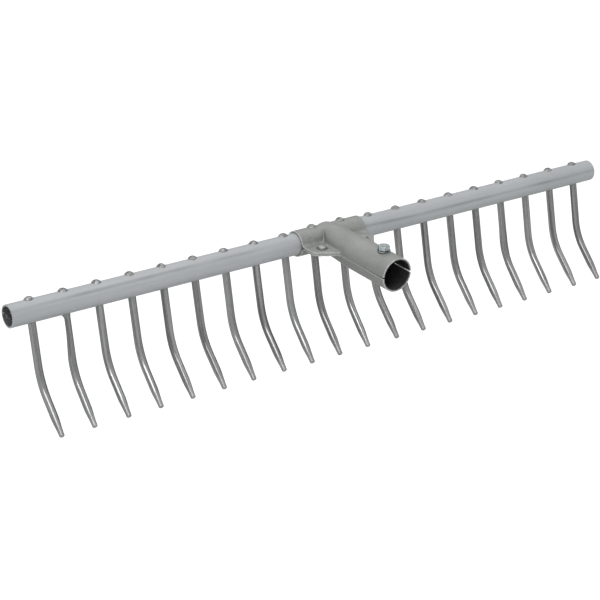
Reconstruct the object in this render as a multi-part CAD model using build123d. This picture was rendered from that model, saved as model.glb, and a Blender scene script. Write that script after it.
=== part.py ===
from build123d import *
import math
import os

# Hay rake head in millimetres: a steel tube with twenty bent tines riveted through it, and
# a handle socket of two pressed shells clamped and riveted over the middle of the tube.
# X runs along the tube. +Z is up, along the tenons of the tines to their peened heads.
# The handle leaves towards -Y and slopes down. The origin is the centre of the socket's mouth.

# Tube
tube_d = 20.6
tube_wall = 1.5
tube_length = 666.0

# Tines: a round rod, straight, then one wide bend towards the handle, then straight to the tip
tine_count = 20
tine_end_gap = 21.4       # from the tube's end to the outermost tine
rod_d = 7.0
bend_drop = 63.4          # tube axis down to the corner of the bend
tip_reach = 50.7          # corner of the bend to the tip
bend_angle = 31.0
bend_radius = 56.0
taper_length = 15.0
tip_d = 4.2
tenon_d = 5.4
tenon_clearance = 0.05    # radial, between the tenon and every hole that it passes
head_d = 8.8
head_height = 2.2
head_flat_d = 3.0         # the hammered top

# Socket shells: both are pressed from one thickness of sheet and mirror each other
sheet = 1.8
saddle_gap = 0.1          # tube surface to the inside of the saddle
saddle_length = 74.0
saddle_bend = 4.0         # outside radius where the saddle turns out into the ear
back_gap = 1.0            # between the two shells behind the tube
socket_tilt = 14.4        # the socket slopes down from the tines' right angle
socket_reach = 104.7      # tube axis to the mouth
bore_d = 28.4             # takes a handle of 28 mm
bore_depth = 60.0
crown_height = 1.4        # how far the neck's rounded end stands above the saddle
seam_gap = 0.4            # between the shells along the socket
seam_gap_mouth = 1.8      # and at the mouth, where it has opened
seam_flare = 30.0         # the length over which it opens

# Ears: the flat corners between tube and socket, where the shells meet and are riveted.
# The right one is cut steeper than the left one.
ear_left_corner_y = 29.4  # where the ear's side would meet its slanting front edge
ear_left_slant = 28.5     # the front edge's angle to the tube
ear_left_corner_r = 6.5
ear_right_corner_y = 23.6
ear_right_slant = 53.0
ear_right_corner_r = 3.0
ear_root_r = 8.0          # where a front edge runs into the socket's side
ear_root_inset = 1.0      # how far a front edge's line runs on inside the socket's side
ear_rivet_inset = 13.6    # from the saddle's end
ear_rivet_y = 23.8
ear_rivet_d = 5.0
ear_rivet_head_d = 8.6
ear_rivet_head_height = 1.9
ear_rivet_flat_d = 4.6
rivet_clearance = 0.05
crease_r = 2.0            # pressed rounding between saddle, ears and neck

# Clamp screw with its washer, through the upper shell
screw_from_mouth = 20.7
screw_d = 6.0
screw_clearance = 0.25
screw_head_flats = 10.0
screw_head_height = 4.0
washer_d = 12.0
washer_thickness = 1.2
screw_tip_setback = 0.1   # the tip stops this far outside the bore

# Sizes worked out from the ones above
tube_r = tube_d / 2
rod_r = rod_d / 2
saddle_inner_r = tube_r + saddle_gap
saddle_outer_r = saddle_inner_r + sheet
bore_r = bore_d / 2
socket_outer_r = bore_r + sheet
neck_length = socket_reach - bore_depth
ball_outer_r = saddle_outer_r + crown_height
screw_hole_r = screw_d / 2 + screw_clearance
ear_rivet_x = saddle_length / 2 - ear_rivet_inset
mouth = Vector(0, -socket_reach, 0).rotate(Axis.X, socket_tilt)
tine_pitch = (tube_length - 2 * tine_end_gap) / (tine_count - 1)
tine_xs = [(i - (tine_count - 1) / 2) * tine_pitch for i in range(tine_count)]
margin = 5.0              # how far every cutting solid runs past what it cuts
upwards = (Align.CENTER, Align.CENTER, Align.MIN)


def under_saddle(x):
    """True for a tine that goes through the shells as well as the tube."""
    return abs(x) < saddle_length / 2


def x_cylinder(radius, length):
    """A solid cylinder along the tube's axis."""
    return Cylinder(radius, length, rotation=(0, 90, 0))


def tube():
    """The round tube, with a through hole for each tenon."""
    body = x_cylinder(tube_r, tube_length) - x_cylinder(tube_r - tube_wall, tube_length)
    hole = Cylinder(tenon_d / 2 + tenon_clearance, tube_d + 2 * margin)
    return body - [Pos(x, 0, 0) * hole for x in tine_xs]


def rod_path():
    """The rod's centre line in the YZ plane, from the tube axis to the start of the taper."""
    turn = math.radians(bend_angle)
    tangent = bend_radius * math.tan(turn / 2)
    run = tip_reach - tangent - taper_length
    start = Edge.make_line((0, 0, 0), (0, 0, -(bend_drop - tangent)))
    bend = Edge.make_circle(bend_radius, Plane((0, 0, 0), x_dir=(0, 1, 0), z_dir=(-1, 0, 0)), 0, bend_angle)
    bend = bend.moved(Location((0, -bend_radius, -(bend_drop - tangent))))
    lower_start = bend @ 1
    direction = Vector(0, -math.sin(turn), -math.cos(turn))
    lower = Edge.make_line(lower_start, lower_start + direction * run)
    return Wire([start, bend, lower]), lower @ 1, direction


def lean_onto_ball(radius, distance, ball_r):
    """The angle to the axis of a line that starts at a radius and touches a ball further along."""
    return math.acos(ball_r / math.hypot(radius, distance)) - math.atan2(distance, radius)


def tip(start, direction):
    """The taper with its rounded end, as a turned form along the rod's last direction."""
    ball_r = tip_d / 2
    ball_z = taper_length - ball_r
    lean = lean_onto_ball(rod_r, ball_z, ball_r)
    taper_end = (ball_r * math.cos(lean), ball_z + ball_r * math.sin(lean))
    outline = [
        Line((0, 0), (rod_r, 0)),
        Line((rod_r, 0), taper_end),
        TangentArc(taper_end, (0, taper_length), tangent=(-math.sin(lean), math.cos(lean))),
        Line((0, taper_length), (0, 0)),
    ]
    turned = revolve(Plane.XZ * make_face(outline), Axis.Z, 360)
    return Plane(start, x_dir=(1, 0, 0), z_dir=direction) * turned


def dome(base_d, height, flat_d):
    """A head that stands on the XY plane: part of a ball, with a flat top."""
    base_r = base_d / 2
    flat_r = flat_d / 2
    centre_z = (flat_r ** 2 + height ** 2 - base_r ** 2) / (2 * height)
    ball = Pos(0, 0, centre_z) * Sphere(math.hypot(base_r, centre_z))
    return ball & Cylinder(base_d, height, align=upwards)


def tine(x):
    """One tine: rod, shouldered tenon through the tube, and a peened head on top."""
    seat_r = saddle_outer_r if under_saddle(x) else tube_r
    path, taper_start, direction = rod_path()
    section = Plane((0, 0, 0), x_dir=(1, 0, 0), z_dir=(0, 0, -1)) * Circle(rod_r)
    rod = sweep(section, path=path) + tip(taper_start, direction)
    # The shoulder and the head both fit the round surface that they are hammered onto
    round_seat = x_cylinder(seat_r, 4 * rod_d)
    skirt = seat_r - math.sqrt(seat_r ** 2 - (head_d / 2) ** 2)
    head = Pos(0, 0, seat_r) * dome(head_d, head_height, head_flat_d)
    head += Pos(0, 0, seat_r - skirt) * Cylinder(head_d / 2, skirt, align=upwards)
    tenon = Cylinder(tenon_d / 2, 2 * seat_r + head_height / 2)
    return Pos(x, 0, 0) * (rod + head - round_seat + tenon)


def saddle_profiles():
    """Outer and inner section of the upper saddle, each closed along the ears' level."""
    bend_z = sheet + saddle_bend
    bend_y = math.sqrt((saddle_outer_r + saddle_bend) ** 2 - bend_z ** 2)
    leave = math.asin(bend_z / (saddle_outer_r + saddle_bend))
    ear_end = -socket_reach
    outer_leave = (-saddle_outer_r * math.cos(leave), saddle_outer_r * math.sin(leave))
    inner_leave = (-saddle_inner_r * math.cos(leave), saddle_inner_r * math.sin(leave))
    outer = [
        ThreePointArc((saddle_outer_r, 0), (0, saddle_outer_r), outer_leave),
        RadiusArc(outer_leave, (-bend_y, sheet), saddle_bend),
        Polyline((-bend_y, sheet), (ear_end, sheet), (ear_end, 0), (saddle_outer_r, 0)),
    ]
    inner = [
        ThreePointArc((saddle_inner_r, 0), (0, saddle_inner_r), inner_leave),
        RadiusArc(inner_leave, (-bend_y, 0), saddle_bend + sheet),
        Line((-bend_y, 0), (saddle_inner_r, 0)),
    ]
    return Plane.YZ * make_face(outer), Plane.YZ * make_face(inner)


def ear_side(side, corner_y, slant):
    """One side of the shells' plan, as the points from behind the tube to inside the socket."""
    end_x = saddle_length / 2
    root_x = socket_outer_r - ear_root_inset
    root_y = corner_y + (end_x - root_x) * math.tan(math.radians(slant))
    outline = [
        (end_x, saddle_outer_r + margin),
        (end_x, -corner_y),
        (root_x, -root_y),
        (root_x, -root_y - ear_root_r),
    ]
    return [(side * x, y) for x, y in outline]


def shell_plan():
    """The outline of saddle and ears, seen square to the ears."""
    left = ear_side(-1, ear_left_corner_y, ear_left_slant)
    right = ear_side(1, ear_right_corner_y, ear_right_slant)
    plan = make_face(Polyline(*left, *reversed(right), close=True))
    roundings = [
        (left[1], ear_left_corner_r),
        (left[2], ear_root_r),
        (right[1], ear_right_corner_r),
        (right[2], ear_root_r),
    ]
    for (x, y), radius in roundings:
        corner = plan.vertices().sort_by_distance((x, y, 0))[0]
        plan = fillet([corner], radius)
    return plan


def socket_form(radius, ball_r, overrun=0.0):
    """A ball over the tube, a neck that widens from it, and a cylinder to the mouth, all solid."""
    lean = lean_onto_ball(radius, neck_length, ball_r)
    neck_start = (ball_r * math.cos(lean), ball_r * math.sin(lean))
    on_ball = (ball_r * math.sin(math.pi / 4), ball_r * math.cos(math.pi / 4))
    end = -(socket_reach + overrun)
    outline = [
        ThreePointArc((0, ball_r), on_ball, neck_start),
        Line(neck_start, (radius, -neck_length)),
        Line((radius, -neck_length), (radius, end)),
        Line((radius, end), (0, end)),
        Line((0, end), (0, ball_r)),
    ]
    return revolve(make_face(outline), Axis.Y, 360)


def seam_wedge():
    """What the shells' edges stop short of along the socket, a gap that opens towards the mouth."""
    flare_start = seam_flare - socket_reach
    end = -(socket_reach + margin)
    edge = [
        (-neck_length, 0),
        (-neck_length, seam_gap / 2),
        (flare_start, seam_gap / 2),
        (-socket_reach, seam_gap_mouth / 2),
        (end, seam_gap_mouth / 2),
        (end, 0),
    ]
    gap = make_face(Polyline(*edge, close=True))
    return extrude(Plane.YZ * gap, socket_outer_r + margin, both=True)


def upper_shell_blank():
    """The upper shell in the clamp's own frame, ears on the XY plane, before tine and screw holes."""
    above = Box(2 * saddle_length, 4 * socket_reach, 2 * saddle_length, align=upwards)
    outer_section, inner_section = saddle_profiles()
    socket = socket_form(socket_outer_r, ball_outer_r) & above
    saddle = extrude(outer_section, saddle_length, both=True)
    # The creases are rounded before the ears get their outline, so that the rounding runs out at it
    blank = socket + saddle
    creases = [e for e in new_edges(socket, saddle, combined=blank) if e.center().Z > sheet / 2]
    blank = fillet(creases, crease_r)
    body = (blank & extrude(shell_plan(), saddle_outer_r + margin)) + socket
    # The pressed sheet is what is left of the outer form once the inner form is taken away
    body -= extrude(inner_section, saddle_length, both=True)
    body -= socket_form(bore_r, ball_outer_r - sheet, margin)
    body -= Box(saddle_length, 2 * saddle_outer_r, back_gap, align=(Align.CENTER, Align.MIN, Align.CENTER))
    body -= seam_wedge()
    rivet_hole = Cylinder(ear_rivet_d / 2 + rivet_clearance, 4 * sheet)
    body -= [Pos(x, -ear_rivet_y, 0) * rivet_hole for x in (-ear_rivet_x, ear_rivet_x)]
    return body


def in_clamp(shape):
    """Turns a shape from the clamp's own frame to the row's directions."""
    return Rot(socket_tilt, 0, 0) * shape


def with_tine_holes(shell):
    """The shell with the holes for the tines that pass through it."""
    hole = Cylinder(tenon_d / 2 + tenon_clearance, 2 * (saddle_outer_r + margin))
    return shell - [Pos(x, 0, 0) * hole for x in tine_xs if under_saddle(x)]


def ear_rivet(x):
    """A rivet through both ears, its two low heads alike."""
    head = Pos(0, 0, sheet) * dome(ear_rivet_head_d, ear_rivet_head_height, ear_rivet_flat_d)
    rivet = Cylinder(ear_rivet_d / 2, 2 * sheet) + head + mirror(head, Plane.XY)
    return in_clamp(Pos(x, -ear_rivet_y, 0) * rivet)


def on_screw_axis(shape):
    """Puts a shape made around Z, from the bore's axis up, where the clamp screw is."""
    return in_clamp(Pos(0, screw_from_mouth - socket_reach, 0) * shape)


def screw_washer():
    """A flat washer, which rests on the ridge of the round shell."""
    hole = Cylinder(screw_hole_r, washer_thickness, align=upwards)
    ring = Cylinder(washer_d / 2, washer_thickness, align=upwards) - hole
    return on_screw_axis(Pos(0, 0, socket_outer_r) * ring)


def clamp_screw():
    """A hexagon-headed screw, its head's top corners chamfered round."""
    seat = socket_outer_r + washer_thickness
    corner_r = screw_head_flats / math.sqrt(3)
    hexagon = extrude(RegularPolygon(corner_r, 6), screw_head_height)
    chamfer_drop = (corner_r - screw_head_flats / 2) * math.tan(math.radians(30))
    straight = screw_head_height - chamfer_drop
    cone = Pos(0, 0, straight) * Cone(corner_r, screw_head_flats / 2, chamfer_drop, align=upwards)
    crown = Cylinder(corner_r, straight, align=upwards) + cone
    tip_z = bore_r + screw_tip_setback
    shank_length = seat + screw_head_height / 2 - tip_z
    shank = Pos(0, 0, tip_z) * Cylinder(screw_d / 2, shank_length, align=upwards)
    return on_screw_axis(Pos(0, 0, seat) * (hexagon & crown) + shank)


upper_blank = upper_shell_blank()
screw_hole = on_screw_axis(Pos(0, 0, bore_r) * Cylinder(screw_hole_r, 4 * sheet))
nodes = {
    "head_tube": tube(),
    "upper_shell": with_tine_holes(in_clamp(upper_blank) - screw_hole),
    "lower_shell": with_tine_holes(in_clamp(mirror(upper_blank, Plane.XY))),
    "ear_rivet_left": ear_rivet(-ear_rivet_x),
    "ear_rivet_right": ear_rivet(ear_rivet_x),
    "clamp_screw": clamp_screw(),
    "screw_washer": screw_washer(),
}
for number, x in enumerate(tine_xs, start=1):
    nodes[f"tine_{number:02d}"] = tine(x)

os.makedirs("parts", exist_ok=True)
for name, shape in nodes.items():
    export_step(Pos(-mouth) * shape, f"parts/{name}.step")
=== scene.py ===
import math

import bpy
from mathutils import Matrix, Vector


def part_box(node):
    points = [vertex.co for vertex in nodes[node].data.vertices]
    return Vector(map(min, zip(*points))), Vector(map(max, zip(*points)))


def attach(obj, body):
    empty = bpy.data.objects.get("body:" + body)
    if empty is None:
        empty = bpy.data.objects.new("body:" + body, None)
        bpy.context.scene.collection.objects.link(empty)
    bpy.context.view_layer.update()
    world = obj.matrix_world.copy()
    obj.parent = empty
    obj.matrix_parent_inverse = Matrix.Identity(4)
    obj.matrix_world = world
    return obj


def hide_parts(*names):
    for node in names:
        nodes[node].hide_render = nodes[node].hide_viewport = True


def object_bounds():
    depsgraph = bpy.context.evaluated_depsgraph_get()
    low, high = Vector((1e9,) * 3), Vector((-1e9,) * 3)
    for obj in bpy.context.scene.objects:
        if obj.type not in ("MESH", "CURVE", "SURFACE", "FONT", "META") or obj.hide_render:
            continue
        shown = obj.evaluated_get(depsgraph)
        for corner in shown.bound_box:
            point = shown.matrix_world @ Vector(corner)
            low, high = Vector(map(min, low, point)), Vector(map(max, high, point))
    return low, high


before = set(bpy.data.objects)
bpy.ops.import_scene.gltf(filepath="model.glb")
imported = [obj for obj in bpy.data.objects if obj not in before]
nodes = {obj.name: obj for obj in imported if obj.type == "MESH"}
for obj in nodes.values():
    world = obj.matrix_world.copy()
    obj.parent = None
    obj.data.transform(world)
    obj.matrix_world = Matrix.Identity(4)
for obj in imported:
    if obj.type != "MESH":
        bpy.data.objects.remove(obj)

cad_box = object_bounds()
scene = bpy.context.scene
scene.view_settings.view_transform = "Standard"
mm = 0.001

# The photograph's camera, fitted to the tube, the tines' heads and tips and the socket's mouth
picture_px = 600
sensor_mm = 36.0
focal_px = 1909.55
camera_azimuth = -34.03
camera_elevation = 13.04
camera_roll = -6.58
camera_depth = 1.7751
tube_centre_px = (327.0, 235.9)

# The floor lies far enough below the tips for its shadow to be soft
floor_drop = 0.55
floor_radius = 9.0

# The same sizes as in the part's source, in metres
tube_low, tube_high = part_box("head_tube")
tube_centre = (tube_low + tube_high) / 2
tube_r = (tube_high.z - tube_low.z) / 2
tube_wall = 1.5 * mm
saddle_r = 12.2 * mm
sheet = 1.8 * mm
socket_tilt = math.radians(14.4)
socket_reach = 104.7 * mm
bore_r = 14.2 * mm
tine_count = 20
tine_end_gap = 21.4 * mm
rod_r = 3.5 * mm
bend_drop = 63.4 * mm
tip_reach = 50.7 * mm
bend_angle = math.radians(31)
bend_radius = 56 * mm
taper_length = 15 * mm
tip_r = 2.1 * mm
blunt_tip_r = 2.4 * mm    # the real tips are hammered a little blunter
tenon_r = 2.7 * mm
head_r = 4.4 * mm
head_height = 2.2 * mm
head_flat_r = 1.7 * mm
ear_rivet_x = 23.4 * mm
ear_rivet_y = 23.8 * mm
washer_thickness = 1.2 * mm

# How far each tine's tip stands off from the regular row, in millimetres: to the side and across the bend
tip_offsets_mm = [
    (0.0, 0.0), (-0.6, -0.3), (0.3, 0.0), (0.4, -0.4), (0.4, 0.1),
    (0.7, 0.5), (-0.2, 0.5), (0.7, 0.2), (-0.1, -0.4), (-1.2, -0.2),
    (-1.2, -0.4), (0.5, -0.1), (0.2, -0.1), (0.4, 0.1), (0.3, -0.3),
    (-0.2, -0.7), (-0.8, -0.6), (-0.8, -0.1), (0.0, 0.1), (-0.8, 0.4),
]
necked_tine = 2           # hammered narrow under the tube, on its left side
wide_tine = 17            # a little flattened above its bend


def camera_axes(azimuth, elevation, roll):
    """Right, up and back of a camera that looks along its own minus back."""
    a, e, r = math.radians(azimuth), math.radians(elevation), math.radians(roll)
    back = Vector((math.sin(a) * math.cos(e), -math.cos(a) * math.cos(e), math.sin(e)))
    level = Vector((math.cos(a), math.sin(a), 0))
    upright = back.cross(level)
    right = level * math.cos(r) + upright * math.sin(r)
    up = upright * math.cos(r) - level * math.sin(r)
    return right, up, back


def add_camera(target):
    """Puts the camera where the photograph's was, with target at its pixel."""
    right, up, back = camera_axes(camera_azimuth, camera_elevation, camera_roll)
    across = (tube_centre_px[0] - picture_px / 2) / focal_px * camera_depth
    above = (picture_px / 2 - tube_centre_px[1]) / focal_px * camera_depth
    data = bpy.data.cameras.new("camera")
    data.sensor_width = sensor_mm
    data.lens = focal_px / picture_px * sensor_mm
    data.clip_start = 0.05
    data.clip_end = 60.0
    camera = bpy.data.objects.new("camera", data)
    scene.collection.objects.link(camera)
    place = target + back * camera_depth - right * across - up * above
    camera.matrix_world = Matrix.Translation(place) @ Matrix((right, up, back)).transposed().to_4x4()
    scene.camera = camera


class Nodes:
    """A short way to write a shader's node tree."""

    def __init__(self, tree):
        tree.nodes.clear()
        self.tree = tree

    def add(self, kind, **settings):
        """A node with its settings, where a name that is also an input's sets that input."""
        node = self.tree.nodes.new(kind)
        for name, value in settings.items():
            label = name.replace("_", " ")
            if label in node.inputs:
                self.put(node.inputs[label], value)
            else:
                setattr(node, name, value)
        return node

    def put(self, socket, value):
        """Links an output to the socket, or sets the socket's own value."""
        if isinstance(value, bpy.types.NodeSocket):
            self.tree.links.new(value, socket)
        else:
            socket.default_value = value

    def math(self, operation, a, b=0.0):
        node = self.tree.nodes.new("ShaderNodeMath")
        node.operation = operation
        self.put(node.inputs[0], a)
        self.put(node.inputs[1], b)
        return node.outputs[0]

    def weigh(self, *terms):
        """The sum of values times their weights."""
        total = 0.0
        for value, weight in terms:
            total = self.math("ADD", total, self.math("MULTIPLY", value, weight))
        return total

    def spread(self, value, low, high, to_low=0.0, to_high=1.0):
        """Stretches the part of value from low to high over to_low to to_high, and clips the rest."""
        node = self.add("ShaderNodeMapRange")
        for socket, number in zip(node.inputs, (value, low, high, to_low, to_high)):
            self.put(socket, number)
        return node.outputs["Result"]

    def mix(self, factor, a, b):
        node = self.tree.nodes.new("ShaderNodeMix")
        node.data_type = "RGBA"
        self.put(node.inputs["Factor"], factor)
        colours = [s for s in node.inputs if s.type == "RGBA"]
        self.put(colours[0], a)
        self.put(colours[1], b)
        return [s for s in node.outputs if s.type == "RGBA"][0]

    def noise(self, coordinates, scale, detail=2.0, roughness=0.5, stretch=(1, 1, 1)):
        """Noise with scale cells to the metre, drawn out where a stretch is below 1."""
        mapping = self.add("ShaderNodeMapping", Vector=coordinates, Scale=stretch)
        texture = self.add("ShaderNodeTexNoise", Vector=mapping.outputs[0], Scale=scale, Detail=detail,
                           Roughness=roughness)
        return self.spread(texture.outputs["Fac"], 0.28, 0.72)

    def attribute(self, name, output):
        node = self.add("ShaderNodeAttribute")
        node.attribute_name = name
        return node.outputs[output]

    def place_from(self, coordinates, centre):
        """X, Y and Z as measured from a centre."""
        moved = self.add("ShaderNodeVectorMath", operation="SUBTRACT")
        self.put(moved.inputs[0], coordinates)
        moved.inputs[1].default_value = centre
        return self.add("ShaderNodeSeparateXYZ", Vector=moved.outputs[0]).outputs

    def length(self, *values):
        """The length of a vector given by its parts."""
        squares = [(self.math("MULTIPLY", value, value), 1.0) for value in values]
        return self.math("SQRT", self.weigh(*squares))

    def clamp_place(self, coordinates):
        """X, the distance from the tube along the socket, and the height over the socket's axis."""
        x, y, z = self.place_from(coordinates, tube_centre)
        along = self.weigh((y, -math.cos(socket_tilt)), (z, -math.sin(socket_tilt)))
        over = self.weigh((y, -math.sin(socket_tilt)), (z, math.cos(socket_tilt)))
        return x, along, over

    def band(self, value, centre, half_width):
        """1 where value is at the centre, falling to 0 at half_width from it."""
        off = self.math("ABSOLUTE", self.math("SUBTRACT", value, centre))
        return self.spread(off, 0.0, half_width, 1.0, 0.0)


def grey(level, tint=(1, 1, 1)):
    return tuple(level * t for t in tint) + (1,)


class Metal:
    """A galvanised surface built up in steps: tone, then stains and painted light and shade, then the shader."""

    def __init__(self, name, place=None):
        self.material = bpy.data.materials.new(name)
        self.material.use_nodes = True
        self.n = Nodes(self.material.node_tree)
        self.place = self.n.add("ShaderNodeTexCoord").outputs["Object"]
        if place:
            self.place = self.n.attribute(place, "Vector")

    def finish(self, colour, roughness, metallic, edge, height, relief):
        n = self.n
        bump = n.add("ShaderNodeBump", Height=height, Distance=relief, Strength=0.6)
        principled = n.add("ShaderNodeBsdfPrincipled", Base_Color=colour, Roughness=roughness, Metallic=metallic,
                           Normal=bump.outputs[0], Specular_Tint=grey(edge))
        output = n.add("ShaderNodeOutputMaterial")
        n.put(output.inputs["Surface"], principled.outputs[0])
        return self.material


def tube_material():
    """Light, smooth zinc with drawn lines along the tube, a long painted dark reflection down its front and
    painted shade in the bore.
    """
    m = Metal("galvanised_tube")
    n = m.n
    blotch = n.noise(m.place, 30.0, detail=4.0, roughness=0.6, stretch=(0.35, 1, 1))
    streak = n.noise(m.place, 1.0, detail=3.0, roughness=0.55, stretch=(9, 300, 300))
    fine = n.noise(m.place, 900.0, detail=2.0, stretch=(0.3, 1, 1))
    tone = n.weigh((blotch, 0.5), (streak, 0.3), (fine, 0.2))
    colour = n.mix(tone, grey(0.41, (0.95, 1.0, 1.03)), grey(0.54, (0.96, 1.0, 1.02)))
    x, y, z = n.place_from(m.place, tube_centre)
    # The long dark band down the front is a painted reflection; it sits lower towards +X and patchy noise breaks
    # it up
    reflection_height = n.spread(x, -60 * mm, 90 * mm, 5.3 * mm, 0.9 * mm)
    patchy = n.noise(m.place, 1.0, detail=2.0, stretch=(16, 90, 90))
    dull_tip_and_painted_reflection = n.math("MULTIPLY", n.band(z, reflection_height, 2.0 * mm), n.spread(patchy, 0.2, 0.8, 0.15, 0.75))
    colour = n.mix(dull_tip_and_painted_reflection, colour, grey(0.27, (0.95, 1.0, 1.03)))
    # The bore is painted dark as shade, with sparse light specks
    wall = tube_r - tube_wall
    painted_shade_inside = n.spread(n.length(y, z), wall + 0.02 * mm, wall + 0.1 * mm, 1.0, 0.0)
    speck = n.spread(n.noise(m.place, 420.0, detail=1.0), 0.86, 0.95)
    colour = n.mix(painted_shade_inside, colour, n.mix(speck, grey(0.15, (0.95, 1.0, 1.0)), grey(0.7)))
    rough = n.spread(blotch, 0.0, 1.0, 0.5, 0.62)
    return m.finish(colour, rough, 0.4, 0.6, n.weigh((streak, 0.5), (fine, 0.5)), 0.12 * mm)


def sheet_material():
    """Matt, clouded zinc, with painted highlights on its edges, painted shade in its creases and grooves, and
    dark painted shade within the socket.
    """
    m = Metal("galvanised_sheet")
    n = m.n
    cloud = n.noise(m.place, 38.0, detail=4.0, roughness=0.6)
    brushed = n.noise(m.place, 1.0, detail=3.0, roughness=0.6, stretch=(260, 40, 180))
    fine = n.noise(m.place, 1000.0, detail=2.0)
    tone = n.weigh((cloud, 0.5), (brushed, 0.22), (fine, 0.28))
    colour = n.mix(tone, grey(0.25, (0.97, 1.0, 0.96)), grey(0.40, (0.98, 1.0, 0.97)))
    # Painted shade in the fold beside the neck and in the groove round each ear rivet
    colour = n.mix(n.math("MULTIPLY", n.attribute("painted_crease_shade", "Fac"), 0.7), colour, grey(0.10))
    # Painted highlights along the convex edges
    painted_edge_highlight = n.spread(n.attribute("painted_edge_highlight", "Fac"), 0.3, 0.9)
    colour = n.mix(n.math("MULTIPLY", painted_edge_highlight, 0.6), colour, grey(0.72, (0.98, 1.0, 0.98)))
    # The socket's inner face is painted dark as shade
    dark = n.mix(cloud, grey(0.05), grey(0.11))
    colour = n.mix(n.attribute("painted_shade_inside", "Fac"), colour, dark)
    rough = n.spread(cloud, 0.0, 1.0, 0.42, 0.56)
    return m.finish(colour, rough, 0.6, 0.7, n.weigh((brushed, 0.4), (fine, 0.6)), 0.12 * mm)


def tine_material():
    """Drawn wire: streaks that follow the bend, brighter and glossier below it, with a dull tip."""
    m = Metal("galvanised_tines", "straight")
    n = m.n
    along = n.math("MULTIPLY", n.add("ShaderNodeSeparateXYZ", Vector=m.place).outputs["Z"], -1.0)
    broad = n.noise(m.place, 1.0, detail=1.0, stretch=(330, 330, 7))
    streak = n.noise(m.place, 1.0, detail=3.0, roughness=0.6, stretch=(900, 900, 14))
    fine = n.noise(m.place, 900.0, detail=2.0, stretch=(1, 1, 0.35))
    tone = n.spread(n.weigh((broad, 0.5), (streak, 0.35), (fine, 0.15)), 0.2, 0.8)
    colour = n.mix(tone, grey(0.15, (0.99, 1.0, 0.99)), grey(0.46, (0.97, 1.0, 0.98)))
    length = bend_drop + tip_reach
    dull_tip_and_painted_reflection = n.spread(along, length - 18 * mm, length - 4 * mm)
    speck = n.noise(m.place, 1500.0, detail=2.0)
    colour = n.mix(n.math("MULTIPLY", dull_tip_and_painted_reflection, 0.8), colour, n.mix(speck, grey(0.20), grey(0.58)))
    gloss = n.spread(along, 44 * mm, 62 * mm)
    rough = n.weigh((n.spread(gloss, 0.0, 1.0, 0.40, 0.17), 1.0), (dull_tip_and_painted_reflection, 0.25))
    height = n.weigh((streak, 0.5), (fine, 0.3), (n.math("MULTIPLY", speck, dull_tip_and_painted_reflection), 0.6))
    return m.finish(colour, rough, 0.9, 0.35, height, 0.08 * mm)


def rivet_material():
    """The ear rivets' zinc, with painted shade round the foot of each head."""
    m = Metal("rivets")
    n = m.n
    cloud = n.noise(m.place, 300.0, detail=3.0)
    fine = n.noise(m.place, 1500.0, detail=2.0)
    tone = n.weigh((cloud, 0.6), (fine, 0.4))
    colour = n.mix(tone, grey(0.36, (0.97, 1.0, 0.98)), grey(0.54, (0.98, 1.0, 0.99)))
    x, along, over = n.clamp_place(m.place)
    off_x = n.math("SUBTRACT", n.math("ABSOLUTE", x), ear_rivet_x)
    off = n.length(off_x, n.math("SUBTRACT", along, ear_rivet_y))
    # Painted shade round the foot of each head
    foot = n.spread(off, 3.0 * mm, 3.9 * mm)
    colour = n.mix(n.math("MULTIPLY", foot, 0.8), colour, grey(0.09))
    return m.finish(colour, n.spread(cloud, 0.0, 1.0, 0.38, 0.5), 0.7, 0.5, tone, 0.1 * mm)


def zinc_material():
    """Bright bluish zinc, with painted shade in the gaps under the head and under the washer."""
    m = Metal("zinc_screw")
    n = m.n
    cloud = n.noise(m.place, 380.0, detail=2.0)
    fine = n.noise(m.place, 2500.0, detail=1.0)
    tone = n.weigh((cloud, 0.75), (fine, 0.25))
    colour = n.mix(tone, grey(0.30, (0.86, 1.0, 1.05)), grey(0.80, (0.93, 1.0, 1.03)))
    x, along, over = n.clamp_place(m.place)
    # Painted shade in the gap under the washer and in the gap between washer and head
    washer_foot = bore_r + sheet
    painted_gap_shade = n.math("MAXIMUM", n.band(over, washer_foot, 0.5 * mm),
                   n.band(over, washer_foot + washer_thickness + 0.15 * mm, 0.6 * mm))
    colour = n.mix(n.math("MULTIPLY", painted_gap_shade, 0.85), colour, grey(0.06, (0.9, 1.0, 1.0)))
    return m.finish(colour, n.spread(cloud, 0.0, 1.0, 0.14, 0.28), 0.95, 0.5, fine, 0.05 * mm)


def smooth(value, low, high):
    """0 below low, 1 above high and a smooth rise between."""
    t = min(max((value - low) / (high - low), 0.0), 1.0)
    return t * t * (3 - 2 * t)


def bump_between(value, low, high, ramp):
    return smooth(value, low, low + ramp) * (1 - smooth(value, high - ramp, high))


def new_piece(name, points, faces, material, replaced, place=None):
    """A mesh piece that rides on the head, shaded smooth."""
    mesh = bpy.data.meshes.new(name)
    mesh.from_pydata(points, [], faces)
    mesh.update()
    mesh.polygons.foreach_set("use_smooth", [True] * len(mesh.polygons))
    if place:
        attribute = mesh.attributes.new("straight", "FLOAT_VECTOR", "POINT")
        attribute.data.foreach_set("vector", [c for p in place for c in p])
    mesh.materials.append(material)
    piece = bpy.data.objects.new(name, mesh)
    scene.collection.objects.link(piece)
    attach(piece, "root")
    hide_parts(replaced)
    return piece


def rod_line(length):
    """The rod's centre line at a length below the tube's axis: y, z and its angle."""
    tangent = bend_radius * math.tan(bend_angle / 2)
    straight = bend_drop - tangent
    arc = bend_radius * bend_angle
    if length <= straight:
        return 0.0, -length, 0.0
    if length <= straight + arc:
        angle = (length - straight) / bend_radius
        return -bend_radius * (1 - math.cos(angle)), -straight - bend_radius * math.sin(angle), angle
    rest = length - straight - arc
    y = -bend_radius * (1 - math.cos(bend_angle)) - rest * math.sin(bend_angle)
    z = -straight - bend_radius * math.sin(bend_angle) - rest * math.cos(bend_angle)
    return y, z, bend_angle


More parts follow.
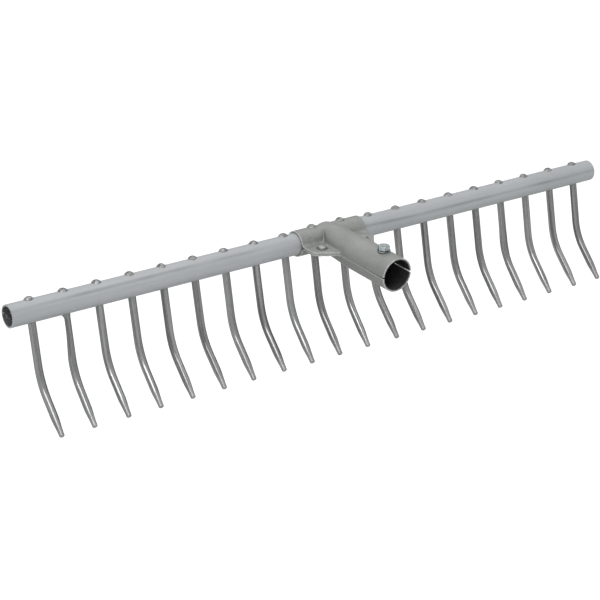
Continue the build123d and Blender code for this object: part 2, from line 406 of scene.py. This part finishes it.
def rod_length():
    tangent = bend_radius * math.tan(bend_angle / 2)
    return bend_drop - tangent + bend_radius * bend_angle + tip_reach - tangent


def rod_radius(length, total):
    """The rod's radius at a length: full, then the taper, then the blunt rounded end."""
    left = total - length
    taper = rod_r + (blunt_tip_r - rod_r) * smooth(length, total - 1.3 * taper_length, total - tip_r)
    if left < tip_r * 0.9:
        depth = 1 - left / (tip_r * 0.9)
        return taper * math.sqrt(max(1 - depth ** 2.4, 0.0))
    return taper


def rod_stations(seat):
    """Lengths at which the rod gets a ring of points, closer together in the bend and at the tip."""
    total = rod_length()
    stations = []
    length = seat + 0.4 * mm
    while length < total - 3 * mm:
        stations.append(length)
        length += 1.6 * mm
    steps = 9
    for i in range(steps):
        stations.append(total - 3 * mm * (1 - math.sin(math.pi / 2 * i / steps)))
    return stations


ring_points = 32


def tine(number):
    """One riveted tine: hammered head, tenon, shoulder, rod, bend and tip as one closed skin."""
    x0 = (number - 1 - (tine_count - 1) / 2) * tine_pitch
    seat = saddle_r if abs(x0) < saddle_half else tube_r
    total = rod_length()
    side, across = (v * mm for v in tip_offsets_mm[number - 1])
    turn = [math.tau * i / ring_points for i in range(ring_points)]
    dent = 0.9 * math.sin(number * 2.1)
    points, place, faces = [], [], []

    def on_seat(y):
        return math.sqrt(seat ** 2 - y ** 2)

    def ring(ring_line):
        start = len(points)
        for p, straight in ring_line:
            points.append(tube_centre + Vector(p))
            place.append((p[0], straight[0], straight[1]))
        if start:
            before = start - ring_points
            for i in range(ring_points):
                j = (i + 1) % ring_points
                faces.append((before + i, before + j, start + j, start + i))

    def head_ring(radius, rise):
        """A ring of the head at a rise over its seat, uneven as hammering leaves it."""
        line = []
        for t in turn:
            r = radius * (1 + 0.035 * math.sin(2 * t + number) + 0.02 * math.sin(3 * t + 2.3 * number))
            x, y = r * math.cos(t), r * math.sin(t)
            foot = on_seat(y)
            hollow = 0.45 * mm * math.exp(-(((x - 2.4 * mm) / (1.3 * mm)) ** 2 + ((y + (1.6 + dent) * mm) / (1.2 * mm)) ** 2))
            lean = 0.05 * x * math.sin(1.7 * number)
            share = rise / head_height
            z = foot + rise + (seat - foot) * share
            z += lean * share - hollow * min(share / 0.4, 1.0)
            line.append(((x0 + x, y, min(z, seat + head_height)), (y, z)))
        ring(line)

    ball_z = (head_flat_r ** 2 + head_height ** 2 - head_r ** 2) / (2 * head_height)
    ball = math.hypot(head_r, ball_z)
    head_profile = [(0.02 * mm, head_height), (head_flat_r * 0.6, head_height), (head_flat_r, head_height)]
    for i in range(1, 9):
        r = head_flat_r + (head_r - head_flat_r) * i / 8
        head_profile.append((r, math.sqrt(ball ** 2 - r ** 2) + ball_z))
    for radius, rise in head_profile:
        head_ring(radius, rise)
    ring([((x0 + head_r * math.cos(t), head_r * math.sin(t), on_seat(head_r * math.sin(t)) - 0.15 * mm),
           (head_r * math.sin(t), 0.01)) for t in turn])
    for z in (seat - 1.2 * mm, 1.2 * mm - seat):
        ring([((x0 + tenon_r * math.cos(t), tenon_r * math.sin(t), z), (tenon_r * math.sin(t), z)) for t in turn])
    shoulder = [(rod_r * math.cos(t), rod_r * math.sin(t)) for t in turn]
    if number == necked_tine:
        shoulder = [(x * 1.12, y) for x, y in shoulder]
    ring([((x0 + x, y, 0.15 * mm - on_seat(y)), (y, -seat)) for x, y in shoulder])

    for length in rod_stations(seat):
        y0, z0, angle = rod_line(length)
        radius = rod_radius(length, total)
        flat = 0.04 * bump_between(length, 45 * mm, 82 * mm, 14 * mm)
        sway = side * smooth(length, seat, total)
        push = across * smooth(length, 50 * mm, total)
        line = []
        for t in turn:
            x = radius * (1 + flat) * math.cos(t)
            v = radius * (1 - flat) * math.sin(t)
            if number == necked_tine:
                if x < 0:
                    x *= 1 - 0.62 * smooth(length, seat, seat + 5 * mm) * (1 - smooth(length, 22 * mm, 54 * mm))
                x *= 1 + 0.12 * (1 - smooth(length, seat, seat + 3 * mm))
            if number == wide_tine:
                x *= 1 + 0.14 * bump_between(length, 34 * mm, 68 * mm, 12 * mm)
            y = y0 + v * math.cos(angle) - push * math.cos(angle)
            z = z0 - v * math.sin(angle) + push * math.sin(angle)
            line.append(((x0 + x + sway, y, z), (v, -length)))
        ring(line)
    y0, z0, angle = rod_line(total)
    end = Vector((x0 + side, y0 - across * math.cos(angle), z0 + across * math.sin(angle)))
    points.append(tube_centre + end)
    place.append((x0, 0.0, -total))
    last = len(points) - 1
    for i in range(ring_points):
        faces.append((last - ring_points + i, last - ring_points + (i + 1) % ring_points, last))
    faces.append(tuple(reversed(range(ring_points))))
    name = f"tine_{number:02d}"
    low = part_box(name)[0]
    for p in points:
        p.z = max(p.z, low.z)
    faces = [tuple(reversed(f)) for f in faces]
    new_piece(f"rod_{number:02d}", points, faces, tine_steel, name, place)


def to_clamp(p):
    """A point of the row as X, the distance from the tube along the socket, and the height over its axis."""
    q = p - tube_centre
    s = -q.y * math.cos(socket_tilt) - q.z * math.sin(socket_tilt)
    n = -q.y * math.sin(socket_tilt) + q.z * math.cos(socket_tilt)
    return q.x, s, n


def from_clamp(x, s, n):
    along = Vector((0, -math.cos(socket_tilt), -math.sin(socket_tilt)))
    over = Vector((0, -math.sin(socket_tilt), math.cos(socket_tilt)))
    return tube_centre + Vector((x, 0, 0)) + along * s + over * n


def gauss(distance, width):
    return math.exp(-(distance / width) ** 2)


saddle_bend = 4.0 * mm
coin_r = 10.0 * mm        # the flat that the riveting press left round each ear rivet
fold_line = (Vector((-9.6, 6.4, 10.4)) * mm, Vector((-15.6, 13.8, 4.2)) * mm)
voxel = 0.75 * mm


def line_distance(point, start, end):
    """How far a point is from a line, and where along the line it is nearest."""
    line = end - start
    t = (point - start).dot(line) / line.length_squared
    near = start + line * min(max(t, 0.0), 1.0)
    return (point - near).length, t


def pressed(x, s, n, upper):
    """Where the press left a point of a shell: coined ears, a fold beside the neck and small dents."""
    m = n if upper else -n
    # The ear is struck flat round its rivet, up to the saddle's foot
    for rivet_x in (-ear_rivet_x, ear_rivet_x):
        off = math.hypot(x - rivet_x, s - ear_rivet_y + 1.5 * mm)
        bend_z = sheet + saddle_bend
        bend_y = math.sqrt((saddle_r + saddle_bend) ** 2 - bend_z ** 2)
        if s > saddle_r + 0.2 * mm and m < 7 * mm and s < bend_y:
            rise = saddle_bend - math.sqrt(max(saddle_bend ** 2 - (bend_y - s) ** 2, 0.0))
            m -= rise * 0.75 * (1 - smooth(off, coin_r, coin_r + 1.6 * mm))
        # Grooves where the rivet set's rim bit into the sheet, and round the flat at the saddle's foot
        if m < 6 * mm:
            m -= 0.4 * mm * gauss(math.hypot(x - rivet_x, s - ear_rivet_y) - 5.2 * mm, 0.9 * mm)
            m -= 0.35 * mm * gauss(off - coin_r - 0.8 * mm, 0.8 * mm) * (1 - smooth(s, 20 * mm, 26 * mm))
    if upper:
        # The fold between saddle and neck on the left, narrow at its top
        off, t = line_distance(Vector((x, s, m)), *fold_line)
        depth = 1.7 * mm * smooth(t, -0.1, 0.7) * (1 - smooth(t, 1.0, 1.25))
        pull = depth * gauss(off, (1.2 + 1.3 * max(t, 0.0)) * mm)
        radial = Vector((x, 0.0, m)).normalized()
        x -= radial.x * pull
        m -= radial.z * pull
        # A small dent on the saddle
        off = (Vector((x, s, m)) - Vector((-26.0, 10.3, 6.5)) * mm).length
        pull = 0.7 * mm * gauss(off, 1.4 * mm)
        s -= 0.85 * pull
        m -= 0.5 * pull
    # The shells' edges at the mouth stand as close as the photograph shows them
    m -= 0.35 * mm * smooth(s, socket_reach - 30 * mm, socket_reach) * (1 - smooth(m, 1 * mm, 5 * mm))
    return x, s, m if upper else -m


def surface_marks(co, normal):
    """How far a point of a shell lies within the socket, for painted shade there, and how much painted shade it
    gets in the groove round each ear rivet and in the fold, each from 0 to 1.
    """
    x, s, n = to_clamp(co)
    over = Vector((0, -math.sin(socket_tilt), math.cos(socket_tilt)))
    outward = Vector((x, 0, 0)) + over * n
    painted_shade_inside = smooth(-outward.normalized().dot(normal), 0.3, 0.6) * smooth(s, saddle_r, saddle_r + 1 * mm)
    painted_shade_inside *= 1 - smooth(math.hypot(x, n), bore_r + 0.3 * mm, bore_r + 0.8 * mm)
    ring = gauss(math.hypot(abs(x) - ear_rivet_x, s - ear_rivet_y) - 5.0 * mm, 0.8 * mm)
    fold = 0.0
    if n > 0:
        top, foot = fold_line
        fold = gauss(line_distance(Vector((x, s, n)), top, foot)[0], 1.6 * mm)
    return painted_shade_inside, max(ring, 0.55 * fold)


def shell(node_name, upper):
    """A shell as fine, evenly meshed sheet with rounded edges, then pressed."""
    source = nodes[node_name]
    rough = bpy.data.objects.new("rough", source.data.copy())
    scene.collection.objects.link(rough)
    weld = rough.modifiers.new("weld", "WELD")
    weld.merge_threshold = 0.002 * mm
    remesh = rough.modifiers.new("remesh", "REMESH")
    remesh.mode = "VOXEL"
    remesh.voxel_size = voxel
    wrap = rough.modifiers.new("wrap", "SHRINKWRAP")
    wrap.target = source
    wrap.wrap_method = "NEAREST_SURFACEPOINT"
    ease = rough.modifiers.new("ease", "SMOOTH")
    ease.factor = 0.35
    ease.iterations = 2
    mesh = bpy.data.meshes.new_from_object(rough.evaluated_get(bpy.context.evaluated_depsgraph_get()))
    bpy.data.objects.remove(rough)
    around = [Vector() for _ in mesh.vertices]
    counts = [0] * len(mesh.vertices)
    for a, b in (edge.vertices for edge in mesh.edges):
        around[a] += mesh.vertices[b].co
        around[b] += mesh.vertices[a].co
        counts[a] += 1
        counts[b] += 1
    # How far each point stands out as a convex edge, for the painted highlight
    painted_edge_highlight = []
    for v, total, count in zip(mesh.vertices, around, counts):
        bulge = (v.co - total / max(count, 1)).dot(v.normal)
        painted_edge_highlight.append(min(max(bulge / (0.16 * mm), 0.0), 1.0))
    marks = [surface_marks(v.co, v.normal) for v in mesh.vertices]
    for v in mesh.vertices:
        v.co = from_clamp(*pressed(*to_clamp(v.co), upper))
    painted_shade_inside, painted_crease_shade = zip(*marks)
    for name, values in (("painted_edge_highlight", painted_edge_highlight), ("painted_shade_inside", painted_shade_inside), ("painted_crease_shade", painted_crease_shade)):
        attribute = mesh.attributes.new(name, "FLOAT", "POINT")
        attribute.data.foreach_set("value", values)
    mesh.polygons.foreach_set("use_smooth", [True] * len(mesh.polygons))
    mesh.materials.clear()
    mesh.materials.append(sheet_steel)
    piece = bpy.data.objects.new("pressed_" + node_name, mesh)
    scene.collection.objects.link(piece)
    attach(piece, "root")
    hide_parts(node_name)


def paint(node_name, material):
    """Gives a CAD node its finished material."""
    slots = nodes[node_name].data.materials
    slots.clear()
    slots.append(material)


def area_lamp(name, place, aim, size, watts):
    data = bpy.data.lights.new(name, "AREA")
    data.shape = "RECTANGLE"
    data.size, data.size_y = size
    data.energy = watts
    lamp = bpy.data.objects.new(name, data)
    scene.collection.objects.link(lamp)
    lamp.location = place
    lamp.rotation_mode = "QUATERNION"
    lamp.rotation_quaternion = (Vector(aim) - Vector(place)).to_track_quat("-Z", "Y")


def add_world(diffuse_level, low_level, high_level):
    """A white background, which the metal sees too, dimmer towards the ground."""
    world = bpy.data.worlds.new("studio")
    world.use_nodes = True
    scene.world = world
    n = Nodes(world.node_tree)
    path = n.add("ShaderNodeLightPath")
    direction = n.add("ShaderNodeTexCoord").outputs["Generated"]
    height = n.add("ShaderNodeSeparateXYZ", Vector=direction).outputs["Z"]
    seen_by_metal = n.spread(height, -0.2, 0.7, low_level, high_level)
    mirrored = n.math("MAXIMUM", path.outputs["Is Glossy Ray"], path.outputs["Is Transmission Ray"])
    to_object = n.spread(mirrored, 0.0, 1.0, diffuse_level, seen_by_metal)
    strength = n.spread(path.outputs["Is Camera Ray"], 0.0, 1.0, to_object, 1.0)
    background = n.add("ShaderNodeBackground", Color=(1, 1, 1, 1), Strength=strength)
    output = n.add("ShaderNodeOutputWorld")
    n.put(output.inputs["Surface"], background.outputs[0])


def add_floor(height, lift):
    """A wide white floor whose brightness for the camera is lifted to white outside the shadow."""
    mesh = bpy.data.meshes.new("floor")
    r = floor_radius
    mesh.from_pydata([(-r, -r, height), (r, -r, height), (r, r, height), (-r, r, height)], [], [(0, 1, 2, 3)])
    floor = bpy.data.objects.new("floor", mesh)
    scene.collection.objects.link(floor)
    material = bpy.data.materials.new("floor_white")
    material.use_nodes = True
    n = Nodes(material.node_tree)
    path = n.add("ShaderNodeLightPath")
    diffuse = n.add("ShaderNodeBsdfDiffuse", Color=(0.8, 0.8, 0.8, 1))
    light = n.add("ShaderNodeEmission", Strength=n.math("MULTIPLY", path.outputs["Is Camera Ray"], lift))
    both = n.add("ShaderNodeAddShader")
    n.put(both.inputs[0], diffuse.outputs[0])
    n.put(both.inputs[1], light.outputs[0])
    output = n.add("ShaderNodeOutputMaterial")
    n.put(output.inputs["Surface"], both.outputs[0])
    mesh.materials.append(material)


tine_pitch = (tube_high.x - tube_low.x - 2 * tine_end_gap) / (tine_count - 1)
saddle_half = (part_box("upper_shell")[1].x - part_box("upper_shell")[0].x) / 2
add_camera(tube_centre)

tube_steel = tube_material()
sheet_steel = sheet_material()
tine_steel = tine_material()
rivet_steel = rivet_material()
zinc = zinc_material()
finish = {"head_tube": tube_steel, "upper_shell": sheet_steel, "lower_shell": sheet_steel,
          "ear_rivet_left": rivet_steel, "ear_rivet_right": rivet_steel,
          "clamp_screw": zinc, "screw_washer": zinc}
for node_name in nodes:
    paint(node_name, finish.get(node_name, tine_steel))

for number in range(1, tine_count + 1):
    tine(number)
shell("upper_shell", True)
shell("lower_shell", False)

add_world(0.78, 0.5, 0.95)
add_floor(cad_box[0].z - floor_drop, 0.5)
key_side = Vector((-0.5445, -0.578, 0.6066))
area_lamp("key_softbox", tube_centre + key_side * 2.2, tube_centre, (0.9, 1.3), 11.0)
area_lamp("top_softbox", tube_centre + Vector((0.5, 0.3, 2.0)), tube_centre, (1.6, 1.2), 4.0)
